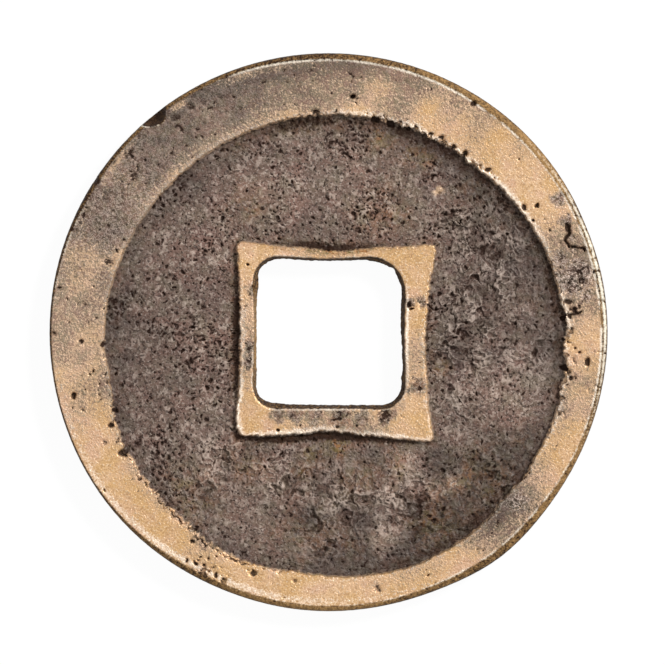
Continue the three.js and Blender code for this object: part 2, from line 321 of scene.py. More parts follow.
def layered(points, size, seed, octaves=3):
    """Noise from about -1 to 1 that adds finer lumps to coarse ones."""
    total = np.zeros(len(points))
    for octave in range(octaves):
        total += lumps(points, size / 2**octave, seed + octave) / 2**octave
    return total / (2 - 0.5 ** (octaves - 1))


def wandering(points, size, seed):
    """A shift for each point, of noise of a size along each axis."""
    return np.stack([lumps(points, size, seed + k) for k in range(3)], 1)


def scattered_pits(points, size, seed, reach, chance):
    """Steep round pits of up to a reach, scattered about size apart. The chance is the
    share of the places that has one."""
    scaled = points[:, :2] / size
    cell = np.floor(scaled).astype(np.int64)
    nearest = np.full(len(points), 9.0)
    name = np.zeros(len(points))
    for dx, dy in itertools.product((-1, 0, 1), repeat=2):
        ix, iy = cell[:, 0] + dx, cell[:, 1] + dy
        x = ix + hashed(ix, iy, 0, seed)
        y = iy + hashed(ix, iy, 1, seed)
        away = np.hypot(scaled[:, 0] - x, scaled[:, 1] - y)
        name = np.where(away < nearest, hashed(ix, iy, 2, seed), name)
        nearest = np.minimum(nearest, away)
    kept = name / np.maximum(chance, 1e-6)
    far = nearest * size / (reach * (0.55 + 0.45 * np.minimum(kept, 1)))
    return smooth(1.2, 0.55, far) * (kept < 1)


def from_bearing(bearing, at, spread):
    """1 on a bearing, fading to both sides of it."""
    return bell((bearing - at + 180) % 360 - 180, spread)


def in_arcs(bearing, arcs, least=0.0):
    """The strongest of several arcs at each bearing."""
    fades = [strength * from_bearing(bearing, at, spread) for at, spread, strength in arcs]
    return strongest([least, *fades])


def bowed(bearing, bows):
    """How far bows push a contour out at each bearing."""
    return sum(out * from_bearing(bearing, at, spread) for at, spread, out in bows)


def patches(points, places):
    """The strength of each of several patches at each point."""
    for x, y, spread, strength in places:
        yield strength * bell(np.hypot(points[:, 0] - x, points[:, 1] - y), spread)


def cad_tree():
    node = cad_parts["cash_coin"]
    corners = [vertex.co / MM for vertex in node.data.vertices]
    faces = [tuple(polygon.vertices) for polygon in node.data.polygons]
    return BVHTree.FromPolygons(corners, faces)


def crossings(tree, angles, height):
    """The radii at which rays from the axis meet the construction at a height."""
    step = 1e-4
    found = []
    for angle in angles:
        way = Vector((math.cos(angle), math.sin(angle), 0))
        radii = []
        start = 0.0
        while hit := tree.ray_cast(Vector((0, 0, height)) + way * start, way)[0]:
            radii.append(hit.xy.length)
            start = radii[-1] + step
        found.append(radii)
    counts = [len(radii) for radii in found]
    usual = max(set(counts), key=counts.count)
    known = [i for i, count in enumerate(counts) if count == usual]
    values = np.array([found[i] for i in known])
    return [
        np.interp(angles, angles[known], values[:, k], period=2 * math.pi)
        for k in range(usual)
    ]


def ragged(radii, angles, seed, amount=RAGGED):
    """Sets a contour in and out by small waves, as corrosion leaves it."""
    points = np.stack([np.cos(angles), np.sin(angles), 0 * angles], 1) * radii[:, None]
    waves = sum(lumps(points, wave, seed + i) for i, wave in enumerate(RAGGED_WAVES))
    return radii + amount * waves


def face_contours(tree, angles, face_z, field_z, seed, eaten):
    """Radii of a face's hole arris, inner rim arris and foot, rim foot and arris, and
    the edge of its flat, worked out from the construction. The feet lie on the
    straight lines of the walls, because the field's floor isn't flat."""
    inside = 0.006 if field_z > face_z else -0.006
    top, middle = face_z + inside, 0.5 * (face_z + field_z)
    at_face = crossings(tree, angles, top)
    at_middle = crossings(tree, angles, middle)
    stretch = (field_z - top) / (middle - top)
    at_field = [high + (low - high) * stretch for high, low in zip(at_face, at_middle)]
    return [
        ragged(at_face[0], angles, seed + 40, HOLE_RAGGED),
        ragged(at_face[1], angles, seed, INNER_RIM_RAGGED),
        ragged(at_field[1], angles, seed + 10),
        ragged(at_field[2], angles, seed + 20, RAGGED * (1 + eaten)),
        ragged(at_face[2], angles, seed + 20, RAGGED * (1 + eaten)),
        at_face[3],
    ]


def floor_lift(tree, places, field_z):
    """How far the construction's field floor stands above its flat part at each place,
    eased so that its facets don't show. The walls round it aren't counted."""
    half = math.ceil(radius / FLOOR_CELL)
    steps = np.arange(-half, half + 1) * FLOOR_CELL
    down = Vector((0, 0, -1))
    sums = np.zeros((2, len(steps), len(steps)))
    for (i, x), (j, y) in itertools.product(enumerate(steps), repeat=2):
        hit, normal, _, _ = tree.ray_cast(Vector((x, y, 2 * thickness)), down)
        if hit is None or normal.z < FLATTEST_WALL:
            continue
        if abs(hit.z - field_z) < 0.5 * (thickness - field_z):
            sums[:, i, j] = hit.z - field_z, 1
    for _ in range(3):
        for axis in (1, 2):
            sums = (np.roll(sums, 1, axis) + sums + np.roll(sums, -1, axis)) / 3
    lifts = sums[0] / np.maximum(sums[1], 1e-6)
    at = places / FLOOR_CELL + half
    cell = np.clip(np.floor(at).astype(int), 0, len(steps) - 2)
    i, j = np.moveaxis(cell, -1, 0)
    a, b = np.moveaxis(at - cell, -1, 0)
    near = (1 - a) * lifts[i, j] + a * lifts[i + 1, j]
    far = (1 - a) * lifts[i, j + 1] + a * lifts[i + 1, j + 1]
    return (1 - b) * near + b * far


def rows_between(corners, eases, counts):
    """Rows of radius, height and raised share along a closed cross-section. Each
    corner is an array of those three for every angle. Its eases say how far before
    and after it the rounding reaches, and counts has the rows of its rounding and of
    the run that follows it."""
    def eased(k, other, ease):
        gap = corners[other % len(corners)] - corners[k]
        length = np.linalg.norm(gap[:, :2], axis=1, keepdims=True)
        return corners[k] + gap * np.minimum(np.reshape(ease, (-1, 1)) / length, 0.45)

    enters = [eased(k, k - 1, before) for k, (before, _) in enumerate(eases)]
    leaves = [eased(k, k + 1, after) for k, (_, after) in enumerate(eases)]
    rows = []
    for k, corner in enumerate(corners):
        bend_rows, run_rows = counts[k]
        for share in np.linspace(0, 1, bend_rows):
            rest = 1 - share
            bent = rest**2 * enters[k] + 2 * share * rest * corner + share**2 * leaves[k]
            rows.append(bent)
        following = enters[(k + 1) % len(corners)]
        for share in np.arange(1, run_rows) / run_rows:
            rows.append((1 - share) * leaves[k] + share * following)
    return np.stack(rows)


def clean_surface():
    """The coin's clean surface as a grid of points, and what is known of each: raised
    is 1 on the rims, arris and foot shares are the nearness of such corners, and side
    shares are 1 down the edge and in the hole. Past edge, beyond and past hole are
    distances outward from the end of the rim's flat, the upper rim's arris and the
    hole's arris, and before inner is inward from the upper inner rim's. Over edge is
    past edge as a share of the way to the outline."""
    tree = cad_tree()
    angles = np.arange(STEPS_ROUND) / STEPS_ROUND * 2 * math.pi
    bearings = np.degrees(angles)
    probe = Vector((FLAT_FLOOR * radius, 0.01, 0))
    up = Vector((0, 0, 1))
    upper_field = tree.ray_cast(probe + 2 * thickness * up, -up)[0].z
    lower_field = tree.ray_cast(probe - thickness * up, up)[0].z
    waist, outermost = crossings(tree, angles, thickness / 2)
    waist = ragged(waist - WAIST_IN + bowed(bearings, HOLE_BOWS), angles, 500, HOLE_RAGGED)
    eaten = in_arcs(bearings, EATEN)
    upper = face_contours(tree, angles, thickness, upper_field, 100, eaten)
    lower = face_contours(tree, angles, 0.0, lower_field, 300, 0 * eaten)
    outermost = outermost + bowed(bearings, EDGE_BOWS)
    bows = [HOLE_ARRIS_BOWS, INNER_RIM_BOWS, INNER_RIM_BOWS, RIM_BITES, RIM_BITES, EDGE_WEAR]
    upper = [contour + bowed(bearings, bow) for contour, bow in zip(upper, bows)]
    waist = np.minimum(waist, np.minimum(upper[0], lower[0]) - LEAST_FLARE)

    def corner(radii, height, raised):
        return np.stack([radii, radii * 0 + height, radii * 0 + raised], 1)

    # Each line is a corner, its ease, and the rows of the run that follows it
    section = [
        (corner(waist, thickness / 2, 1), HOLE_WAIST_EASE, HOLE_WALL_ROWS),
        (corner(upper[0], thickness, 1), HOLE_ARRIS_EASE, INNER_RIM_ROWS),
        (corner(upper[1], thickness, 1), ARRIS_EASE, FIELD_WALL_ROWS),
        (corner(upper[2], upper_field, 0), FOOT_EASE, FIELD_ROWS),
        (corner(upper[3], upper_field, 0), FOOT_EASE, FIELD_WALL_ROWS),
        (corner(upper[4], thickness, 1), ARRIS_EASE, RIM_ROWS),
        (corner(outermost, thickness, 1), EDGE_RISE, SIDE_ROWS),
        (corner(outermost, 0, 1), EDGE_RISE, UNDER_RIM_ROWS),
        (corner(lower[4], 0, 1), ARRIS_EASE, FIELD_WALL_ROWS),
        (corner(lower[3], lower_field, 0), FOOT_EASE, UNDER_FIELD_ROWS),
        (corner(lower[2], lower_field, 0), FOOT_EASE, FIELD_WALL_ROWS),
        (corner(lower[1], 0, 1), ARRIS_EASE, INNER_RIM_ROWS),
        (corner(lower[0], 0, 1), HOLE_ARRIS_EASE, HOLE_WALL_ROWS),
    ]
    corners, eases, runs = zip(*section)
    eases = [[ease, ease] for ease in eases]
    upper_edge, lower_edge = 6, 7
    eases[upper_edge][0] = outermost - upper[5]
    eases[lower_edge][1] = outermost - lower[5]
    bends = [CORNER_ROWS] * len(corners)
    bends[upper_edge] = bends[lower_edge] = EDGE_ROWS
    rows = rows_between(corners, eases, list(zip(bends, runs)))
    far, height, raised = np.moveaxis(rows, 2, 0)

    def nearness(contours, reach):
        away = [np.linalg.norm(rows[:, :, :2] - contour[:, :2], axis=2) for contour in contours]
        return strongest(bell(distance, reach) for distance in away)

    is_upper = height > thickness / 2
    edge = np.where(is_upper, upper[5], lower[5])
    past_hole = far - np.where(is_upper, upper[0], lower[0])
    from_face = np.minimum(np.abs(height), np.abs(height - thickness))
    edges = [corner(upper[5], thickness, 1), corner(lower[5], 0, 1)]
    skin = {
        "raised": raised,
        "rim_arris": nearness([corners[k] for k in (2, 5, 8, 11)], 0.09),
        "hole_arris": nearness([corners[1], corners[12]], 0.08),
        "edge_arris": nearness(edges, 0.055),
        "inner_foot": nearness([corners[3], corners[10]], 0.29),
        "outer_foot": nearness([corners[4], corners[9]], 0.15),
        "past_edge": far - edge,
        "over_edge": (far - edge) / (outermost - edge),
        "outer_side": smooth(-0.03, 0.05, far - edge),
        "hole_side": smooth(-0.02, 0.04, -past_hole) * smooth(0.0, 0.07, from_face),
        "beyond": far - upper[4],
        "before_inner": upper[1] - far,
        "past_hole": past_hole,
        "bearing": np.tile(bearings, (len(rows), 1)),
    }
    points = np.stack([far * np.cos(angles), far * np.sin(angles), height], 2)
    lift = floor_lift(tree, points[:, :, :2], upper_field)
    points[:, :, 2] += lift * is_upper * (1 - raised)
    starts = np.cumsum([0] + [bend + run - 1 for bend, run in zip(bends, runs)])
    middles = [start + bend // 2 for start, bend in zip(starts, bends)]
    skin = SimpleNamespace(**{name: values.ravel() for name, values in skin.items()})
    return points, skin, middles


def grid_normals(points):
    ways = [np.roll(points, -1, axis) - np.roll(points, 1, axis) for axis in (0, 1)]
    normals = np.cross(*ways)
    return normals / np.linalg.norm(normals, axis=2, keepdims=True)


def from_line(points, course):
    """Distance in the plane from each point to a line of straight stretches."""
    nearest = np.full(len(points), 1e9)
    for start, end in zip(course, course[1:]):
        a, way = np.array(start), np.array(end) - np.array(start)
        share = np.clip(((points[:, :2] - a) @ way) / (way @ way), 0, 1)
        gap = points[:, :2] - a - share[:, None] * way
        nearest = np.minimum(nearest, np.linalg.norm(gap, axis=1))
    return nearest


def chipped(points):
    """Moves the points inside the chip's ball out to its surface, into the metal."""
    bearing = math.radians(CHIP_BEARING)
    outward = np.array([math.cos(bearing), math.sin(bearing), 0])
    along = np.array([-outward[1], outward[0], 0])
    upward = np.array([0, 0, 1])
    centre = CHIP_CENTRE_RADIUS * outward + thickness * upward
    axes = np.stack([outward, along, upward])
    local = (points - centre) @ axes.T
    sides = np.where(local[:, 1] > 0, CHIP_LONG_SIDE, CHIP_SHORT_SIDE)
    sizes = np.stack([0 * sides + CHIP_REACH, sides, 0 * sides + CHIP_DROP], 1)
    local = local / sizes
    far = np.linalg.norm(local, axis=1, keepdims=True)
    inside = (far < 1) & (far > 1e-6)
    local = np.where(inside, local / np.maximum(far, 1e-6), local)
    in_chip = smooth(1.08, 0.97, far.ravel())
    return local * sizes @ axes + centre, in_chip


def named_pits(warp):
    """How deep the pits and cracks of the reverse are, and their share of each point.
    Every pit is stretched its own way."""
    share = np.zeros(len(warp))
    depth = np.zeros(len(warp))
    for k, (x, y, reach, deep) in enumerate(REVERSE_PITS):
        turn = 2.4 * k
        stretch = 1 + 0.45 * math.sin(1.7 * k + 0.5)
        east, north = warp[:, 0] - x, warp[:, 1] - y
        first = (east * math.cos(turn) + north * math.sin(turn)) / stretch
        second = north * math.cos(turn) - east * math.sin(turn)
        bowl = smooth(1.15, 0.55, np.hypot(first, second) / reach)
        share = np.maximum(share, bowl * min(1, 0.35 + 5 * deep))
        depth = np.maximum(depth, deep * bowl)
    for course, half_width, deep in CRACKS:
        crack = smooth(1.1, 0.35, from_line(warp, course) / half_width)
        share = np.maximum(share, crack * min(0.9, 0.3 + 4 * deep))
        depth = np.maximum(depth, deep * crack)
    return depth, share


def field_surface(points, skin):
    """The fields' corrosion: crisp small pits in clusters, and flakes of scale where it is
    rough. Gives how far the surface is set in, and its dark share, its painted highlight share
    on crests and raised grains, and its red share at each point."""
    small = skin.small
    rough = sum(patches(points + 0.4 * small[:, None], ROUGH_PLACES))
    rough = np.clip(rough + 0.25 * layered(points, 2.2, 40, 2), 0, 1)
    # Pits are many at the top and the left, and few where it is rough or lower right
    cluster = smooth(-0.3, 0.5, layered(points, 1.2, 400, 2)) * (1 - 0.6 * rough)
    cluster *= 1 - 0.75 * smooth(0.0, 4.0, 0.6 * points[:, 0] - 0.8 * points[:, 1])
    uneven = skin.warp + 0.045 * wandering(points, 0.11, 905)
    large = scattered_pits(uneven, 0.31, 31, 0.095, 0.08 + 0.50 * cluster)
    tiny = scattered_pits(uneven, 0.17, 33, 0.058, 0.14 + 0.52 * cluster)
    merged = smooth(0.22, 0.44, small) * (0.3 + 0.7 * cluster)
    swirl = points + 0.22 * wandering(points, 0.5, 910) + 0.10 * wandering(points, 0.18, 915)
    # Flakes end in steps where noise crosses a level, with a crest along the step
    wide = lumps(swirl, 0.72, 65) + 0.45 * lumps(swirl, 0.32, 66) + 0.2 * lumps(swirl, 0.15, 67)
    narrow = lumps(swirl, 0.30, 68) + 0.4 * lumps(swirl, 0.14, 69)
    broken = smooth(-0.5, 0.1, lumps(points, 0.6, 61) + 0.3 * small)
    lower = smooth(0.03, 0.16, wide)
    lower_still = smooth(0.12, 0.30, narrow)
    crest = smooth(0.15, 0.0, np.abs(wide + 0.03))
    crest = np.maximum(crest, 0.8 * smooth(0.20, 0.0, np.abs(narrow - 0.01))) * broken * rough
    hollow = smooth(0.05, 0.5, layered(swirl, 0.40, 55, 2)) * (0.3 + 0.3 * rough)
    set_in = (
        0.080 * large
        + 0.055 * tiny
        + 0.045 * merged
        + 0.045 * hollow
        + (0.085 * lower + 0.060 * lower_still - 0.065) * rough
        - 0.065 * crest
        + 0.022 * small
        - 0.012
    )
    dark = (0.30 * lower + 0.28 * lower_still) * rough + 0.35 * hollow
    dark = strongest([large, 0.85 * tiny, 0.75 * merged, dark])
    # Painted highlight: crests and raised grains are lighter, as if lit
    light = np.maximum(crest, 0.45 * smooth(-0.22, -0.45, small))
    tint = smooth(0.1, 0.5, layered(swirl, 0.9, 75, 2)) * (0.4 + 0.6 * rough)
    return set_in, dark, np.clip(light, 0, 1) * (1 - dark), tint


def rim_patina(points, skin, stain):
    """How much patina covers each point of the rims, from 0 to 1."""
    bearing = skin.bearing
    far = np.linalg.norm(points[:, :2], axis=1)
    outer = in_arcs(bearing, RIM_PATINA, LEAST_PATINA)
    to_edge = smooth(*NEAR_EDGE, far) - 0.4
    outer += 0.34 * to_edge * from_bearing(bearing, 84, 38)
    outer -= 0.24 * to_edge * from_bearing(bearing, 322, 36)
    margin = bell(skin.beyond - 0.1, 0.42)
    outer -= margin * in_arcs(bearing, WORN_MARGIN) * (outer > 0.3)
    outer += margin * in_arcs(bearing, THICK_MARGIN)
    outer -= 0.55 * bell(skin.past_edge + 0.12, 0.24) * in_arcs(bearing, WORN_EDGE)
    inner = in_arcs(bearing, INNER_RIM_PATINA, LEAST_INNER_PATINA)
    on_outer_rim = smooth(BETWEEN_RIMS - 0.5, BETWEEN_RIMS + 0.5, far)
    reverse = on_outer_rim * outer + (1 - on_outer_rim) * inner
    reverse = np.maximum(reverse, stain * (1 + 0.3 * skin.mottle))
    obverse = 0.4 + 0.25 * layered(points, 3.5, 110)
    share = skin.on_reverse * reverse + (1 - skin.on_reverse) * obverse
    return np.clip(share + 0.32 * skin.mottle * smooth(0.0, 0.35, share), 0, 1)


def rim_surface(points, skin, patina, scaly):
    """How far the rims' surface is set in, and the share of small specks in it."""
    # Crumbled metal, also along the foot of the rim where it is eaten away
    near_foot = bell(skin.beyond - 0.02, 0.17)
    crumbled = 0.6 * near_foot * in_arcs(skin.bearing, EATEN)
    crumbled = strongest([crumbled, *patches(skin.warp, CRUMBLED)]) * skin.on_reverse
    bar = 0.60 - 0.28 * patina - 0.60 * crumbled
    specks = smooth(bar, bar + 0.16 + 0.10 * patina, skin.small + 0.12 * skin.fine_mottle)
    set_in = (
        0.008
        + 0.007 * layered(points, 1.6, 150)
        + 0.008 * patina
        + 0.030 * patina * skin.small
        + specks * (0.035 + 0.07 * crumbled)
        + scaly * (0.030 + 0.040 * skin.small)
    )
    return np.maximum(set_in, 0) * (1 - skin.outer_side), specks


def rubbed_metal_and_highlights(skin, in_chip):
    """Bright metal where the rims' margins were rubbed, partly painted highlight, and painted
    highlights along the edge's arris and side, the inner rim's margin, the chip's rim, the
    hole's arris and the flat beside it, and the rims' arrises.
    """
    bearing, mottle, fine_mottle = skin.bearing, skin.mottle, skin.fine_mottle
    # The rim's inner margin: rubbed metal, partly a painted highlight
    margin = bell(skin.beyond - 0.05, 0.17 + 0.08 * fine_mottle)
    margin *= in_arcs(bearing, BRUSHED_AND_LIT_MARGIN, 0.2) * skin.on_reverse * skin.raised
    outer_margin = bell(skin.past_edge + 0.16, 0.16 + 0.05 * fine_mottle)
    outer_margin *= from_bearing(bearing, 240, 42) * skin.on_reverse
    inner_margin = bell(skin.before_inner - 0.05, 0.17 + 0.1 * fine_mottle)
    inner_margin *= in_arcs(bearing, LIT_INNER, 0.1) * skin.on_reverse * skin.raised
    # Painted highlights along the edge's side and arris facing the key light, the chip's rim and
    # the hole's arris
    side_line = bell(skin.over_edge - 0.60, 0.22) * from_bearing(bearing, 10, 24)
    edge_line = skin.edge_arris * in_arcs(bearing, LIT_EDGE, 0.15)
    chip_line = in_chip * (1 - in_chip) * smooth(127, 132, bearing)
    return strongest([
        0.95 * margin,
        0.6 * outer_margin,
        inner_margin,
        1.1 * side_line * skin.on_reverse,
        1.1 * edge_line * smooth(-0.7, 0.1, fine_mottle),
        3.2 * chip_line * smooth(-0.5, 0.2, mottle),
        0.55 * skin.hole_arris * smooth(-0.3, 0.3, mottle),
        0.8 * skin.hole_arris * from_bearing(bearing, 268, 36),
        bell(skin.past_hole - 0.10, 0.08) * from_bearing(bearing, 0, 34),
        0.25 * skin.rim_arris * smooth(-0.2, 0.4, mottle),
    ])


def foot_shares(skin):
    """Painted shade along the feet of the walls, and a yellow-brown tint laid in that painted
    shade.
    """
    inner_foot = skin.inner_foot * in_arcs(skin.bearing, SHADED_INNER_FOOT, 0.4)
    band = bell(skin.beyond + 0.26, 0.40 + 0.14 * skin.fine_mottle)
    band *= in_arcs(skin.bearing, SHADED_BAND)
    outer_foot = skin.outer_foot * (0.4 + 0.3 * from_bearing(skin.bearing, 0, 60))
    dark = strongest([inner_foot, outer_foot, 0.85 * band * skin.on_reverse])
    dark *= (0.8 + 0.3 * skin.fine_mottle) * smooth(1.0, 0.85, skin.raised)
    return dark, 0.6 * np.maximum(inner_foot, band)


def dirt_and_shade_tint_shares(skin, shade_band_tint, inner_stain):
    """Yellow-brown dirt in the field, along the rims' arrises and in the stains, and a
    yellow-brown tint in the painted shade along the walls' feet.
    """
    in_field = (1 - skin.raised) * skin.on_reverse
    field = strongest([shade_band_tint, *patches(skin.warp, REVERSE_DIRT)]) * in_field
    line = 0.7 * bell(skin.beyond, 0.07) * from_bearing(skin.bearing, 262, 52)
    inner_line = 1.6 * bell(skin.before_inner - 0.06, 0.09) * from_bearing(skin.bearing, 88, 38)
    inner_line *= smooth(0, 0.1, skin.before_inner + 0.1)
    lines = np.maximum(line, inner_line) * skin.on_reverse
    return strongest([field, lines, 0.5 * inner_stain]) * (0.75 + 0.7 * skin.fine_mottle)


def side_lightness(skin, in_chip):
    """How light the edge's side and the hole's wall are: partly their own tone, partly painted
    light where they face the key light, with painted shade at the outline.
    """
    light = in_arcs(skin.bearing, LIT_SIDE_AND_TONE, 0.1)
    # Painted shade on the outermost part of the side, next to the outline
    light -= 0.35 * smooth(0.80, 0.95, skin.over_edge) * skin.on_reverse
    light *= skin.outer_side * (1 + 0.6 * skin.mottle) * (1 - in_chip)
    # Painted light on the hole's wall that faces the key light
    wall = 0.7 * from_bearing(skin.bearing, 180, 34) + 0.2 * skin.mottle
    return light + skin.hole_side * wall


def tones(points, skin, patina, is_inner):
    """How light the metal and its patina are, with 0.5 as the middle."""
    bearing = skin.bearing
    rims = 0.5 + 0.45 * layered(points, 3.0, 170) + 0.02 * points[:, 1] - 0.2 * patina
    rims += 0.25 * from_bearing(bearing, 270, 34)
    rims -= 0.25 * smooth(-0.9, -0.3, skin.past_edge) * from_bearing(bearing, 103, 24)
    rims += 0.4 * skin.fine_mottle * patina - 0.28 * from_bearing(bearing, 125, 38) * ~is_inner
    field = 0.5 + 0.22 * skin.mottle + 0.18 * skin.fine_mottle
    field += skin.on_reverse * sum(patches(points + 0.2 * skin.mottle[:, None], FIELD_TONES))
    shaded = bell(skin.beyond + 0.1, 0.8 + 0.3 * from_bearing(bearing, 305, 40))
    field -= 0.5 * shaded * in_arcs(bearing, SHADED_FOOT, 0.5) * skin.on_reverse
    return skin.raised * rims + (1 - skin.raised) * field


def weathering(points, skin, in_chip):
    """How far the surface is set in at each point, in millimetres, and its colours as
    shares from 0 to 1."""
    raised, in_field = skin.raised, 1 - skin.raised
    on_reverse = smooth(0.5 * thickness, 0.7 * thickness, points[:, 2])
    wander = wandering(points, 0.2, 900)
    warp = points + 0.07 * wander
    small = (lumps(warp, 0.17, 51) + 0.6 * lumps(warp, 0.09, 52)) / 1.6
    mottle = layered(points, 1.1, 120, 4)
    fine_mottle = layered(points, 0.45, 125, 2)
    skin.on_reverse, skin.warp, skin.small = on_reverse, warp, small
    skin.mottle, skin.fine_mottle = mottle, fine_mottle

    depth, pit = named_pits(warp + 0.05 * np.stack([small, -fine_mottle, 0 * small], 1))
    depth, pit = depth * on_reverse, pit * on_reverse
    field_in, field_dark, field_highlight, field_tint = field_surface(points, skin)
    # The stains' outlines wander, less on the narrow inner rim
    is_inner = np.linalg.norm(points[:, :2], axis=1) < BETWEEN_RIMS
    astray = mottle * np.where(is_inner, 0.1, 0.3)
    stain = strongest(patches(points + astray[:, None] + 0.2 * wander, REVERSE_STAINS))
    inner_stain = stain * raised * on_reverse * is_inner
    patina = rim_patina(points, skin, stain)
    scaly = smooth(0.36, 0.80, stain) * np.where(is_inner, 0.5, 1)
    flaked = in_arcs(skin.bearing, FLAKED) * ~is_inner
    scaly = np.maximum(scaly, flaked * smooth(0.2, 0.7, patina)) * on_reverse * raised
    rim_in, specks = rim_surface(points, skin, patina, scaly)
    filed = lumps(points * np.array([1, 1, 0.25]), 0.11, 160)
    filed = 0.004 * (1 + filed) * skin.outer_side
    set_in = in_field * field_in + raised * rim_in + filed + depth

    x, y, spot_radius = BARE_SPOT
    spot_far = np.hypot(warp[:, 0] - x, warp[:, 1] - y) / spot_radius
    bare = smooth(1.3, 0.4, spot_far + 0.5 * small) * on_reverse
    painted_foot_shade, shade_band_tint = foot_shares(skin)
    # Near-black grime in pits, specks and stains, with painted shade along the walls' feet and
    # in the chip
    grime_and_shade = strongest([
        pit,
        raised * specks * (0.55 + 0.4 * patina),
        in_field * field_dark * (1 - bare),
        painted_foot_shade,
        0.9 * inner_stain * smooth(-0.1, 0.5, small),
        # Painted shade in the chip's hollow
        0.45 * in_chip,
    ])
    # Painted highlight: the raised grains of the rims' patina are lighter
    rim_highlight = 0.5 * raised * patina * smooth(0.2, 0.6, -small)
    shares = {
        "patina": np.maximum(in_field, raised * patina) * (1 - 0.55 * bare),
        "grime_and_shade": grime_and_shade,
        "highlit_grain": in_field * field_highlight + rim_highlight,
        "tint": in_field * field_tint,
        "rub_and_highlight": rubbed_metal_and_highlights(skin, in_chip) * (1 - 0.95 * np.maximum(pit, specks)),
        "tone": tones(points, skin, patina, is_inner),
        "dirt_and_shade_tint": dirt_and_shade_tint_shares(skin, shade_band_tint, inner_stain),
        "scaly": scaly,
        "side": np.maximum(skin.outer_side, skin.hole_side),
        "side_tone_and_light": side_lightness(skin, in_chip),
        "field": in_field,
    }
    return set_in, {name: np.clip(values, 0, 1) for name, values in shares.items()}


def bake_map(points, middles):
    """A place in the unit square for each corner of each quad: both faces seen flat,
    and the outer side and the hole's wall as strips below them."""
    rows, columns = points.shape[:2]
    upper_hole, upper_edge, lower_edge, lower_hole = (middles[k] for k in (1, 6, 7, 12))
    row = np.repeat(np.arange(rows), columns)
    column = np.tile(np.arange(columns), rows)
    corner_rows = np.stack([row, row + 1, row + 1, row], 1)
    corner_columns = np.stack([column, column, column + 1, column + 1], 1)
    at = points[corner_rows % rows, corner_columns % columns]
    disc = 0.24 / radius
    flat = np.stack([0.25 + disc * at[:, :, 0], 0.75 + disc * at[:, :, 1]], 2)
    under = np.stack([0.75 - disc * at[:, :, 0], 0.75 + disc * at[:, :, 1]], 2)

    def strip(first, last, low, high):
        span = (last - first) % rows
        share = ((corner_rows - first) % rows) / span
        return np.stack([corner_columns / columns, low + (high - low) * share], 2)

    side = strip(upper_edge, lower_edge, 0.26, 0.46)
    wall = strip(lower_hole, upper_hole, 0.03, 0.23)
    part = np.searchsorted([upper_hole, upper_edge, lower_edge, lower_hole], row, "right")
    return np.choose(part[:, None, None], [wall, flat, side, under, wall])


def coin_mesh():
    points, skin, middles = clean_surface()
    rows, columns = points.shape[:2]
    normals = grid_normals(points).reshape(-1, 3)
    clean, in_chip = chipped(points.reshape(-1, 3))
    set_in, shares = weathering(clean, skin, in_chip)
    worn = clean - normals * set_in[:, None]
    here = np.arange(rows * columns).reshape(rows, columns)
    beside = np.roll(here, -1, 1)
    quads = [here, np.roll(here, -1, 0), np.roll(beside, -1, 0), beside]
    quads = np.stack(quads, 2).reshape(-1, 4)
    mesh = bpy.data.meshes.new("cash_coin_metal")
    mesh.vertices.add(len(worn))
    mesh.vertices.foreach_set("co", (worn * MM).astype(np.float32).ravel())
    mesh.loops.add(quads.size)
    mesh.loops.foreach_set("vertex_index", quads.ravel().astype(np.int32))
    mesh.polygons.add(len(quads))
    mesh.polygons.foreach_set("loop_start", np.arange(0, quads.size, 4, dtype=np.int32))
    mesh.update(calc_edges=True)
    for name, values in shares.items():
        attribute = mesh.attributes.new(name, "FLOAT", "POINT")
        attribute.data.foreach_set("value", values.astype(np.float32))
    places = mesh.uv_layers.new(name="OFBake")
    places.uv.foreach_set("vector", bake_map(points, middles).astype(np.float32).ravel())
    mesh.shade_smooth()
    return mesh


def fill(socket, value):
    """Sets a node's input to a value, or joins it to another node's output."""
    if isinstance(value, bpy.types.NodeSocket):
        socket.id_data.links.new(value, socket)
    else:
        socket.default_value = value


def node(tree, kind, inputs=None, **settings):
    made = tree.nodes.new(kind)
    for name, value in settings.items():
        setattr(made, name, value)
    for name, value in (inputs or {}).items():
        fill(made.inputs[name], value)
    return made


def share_of(tree, name):
    return node(tree, "ShaderNodeAttribute", attribute_name=name).outputs["Fac"]


def noise(tree, size_mm, detail=2.0, roughness=0.5, distortion=0.0):
    """Fine noise in the coin's own space, with features of about a size."""
    place = node(tree, "ShaderNodeTexCoord").outputs["Object"]
    shape = {"Detail": detail, "Roughness": roughness, "Distortion": distortion}
    inputs = {"Vector": place, "Scale": 1 / (size_mm * MM), **shape}
    return node(tree, "ShaderNodeTexNoise", inputs).outputs["Fac"]


def spread(value, low, high, to_low=0.0, to_high=1.0):
    """Maps a value's range to another."""
    ends = {"From Min": low, "From Max": high, "To Min": to_low, "To Max": to_high}
    made = node(value.id_data, "ShaderNodeMapRange", {"Value": value, **ends})
    return made.outputs["Result"]


def math_of(operation, a, b):
    return node(a.id_data, "ShaderNodeMath", {0: a, 1: b}, operation=operation).outputs[0]


times = functools.partial(math_of, "MULTIPLY")
plus = functools.partial(math_of, "ADD")
larger = functools.partial(math_of, "MAXIMUM")


def linear(part):
    part = part / 255
    return part / 12.92 if part <= 0.04045 else ((part + 0.055) / 1.055) ** 2.4


def mixed(share, first, second):
    """Mixes two colours, each written in sRGB or the output of another mix."""
    made = node(share.id_data, "ShaderNodeMix", {"Factor": share}, data_type="RGBA")
    sockets = [socket for socket in made.inputs if socket.type == "RGBA"]
    for socket, colour in zip(sockets, (first, second)):
        if isinstance(colour, tuple):
            colour = (*map(linear, colour), 1)
        fill(socket, colour)
    return next(socket for socket in made.outputs if socket.type == "RGBA")


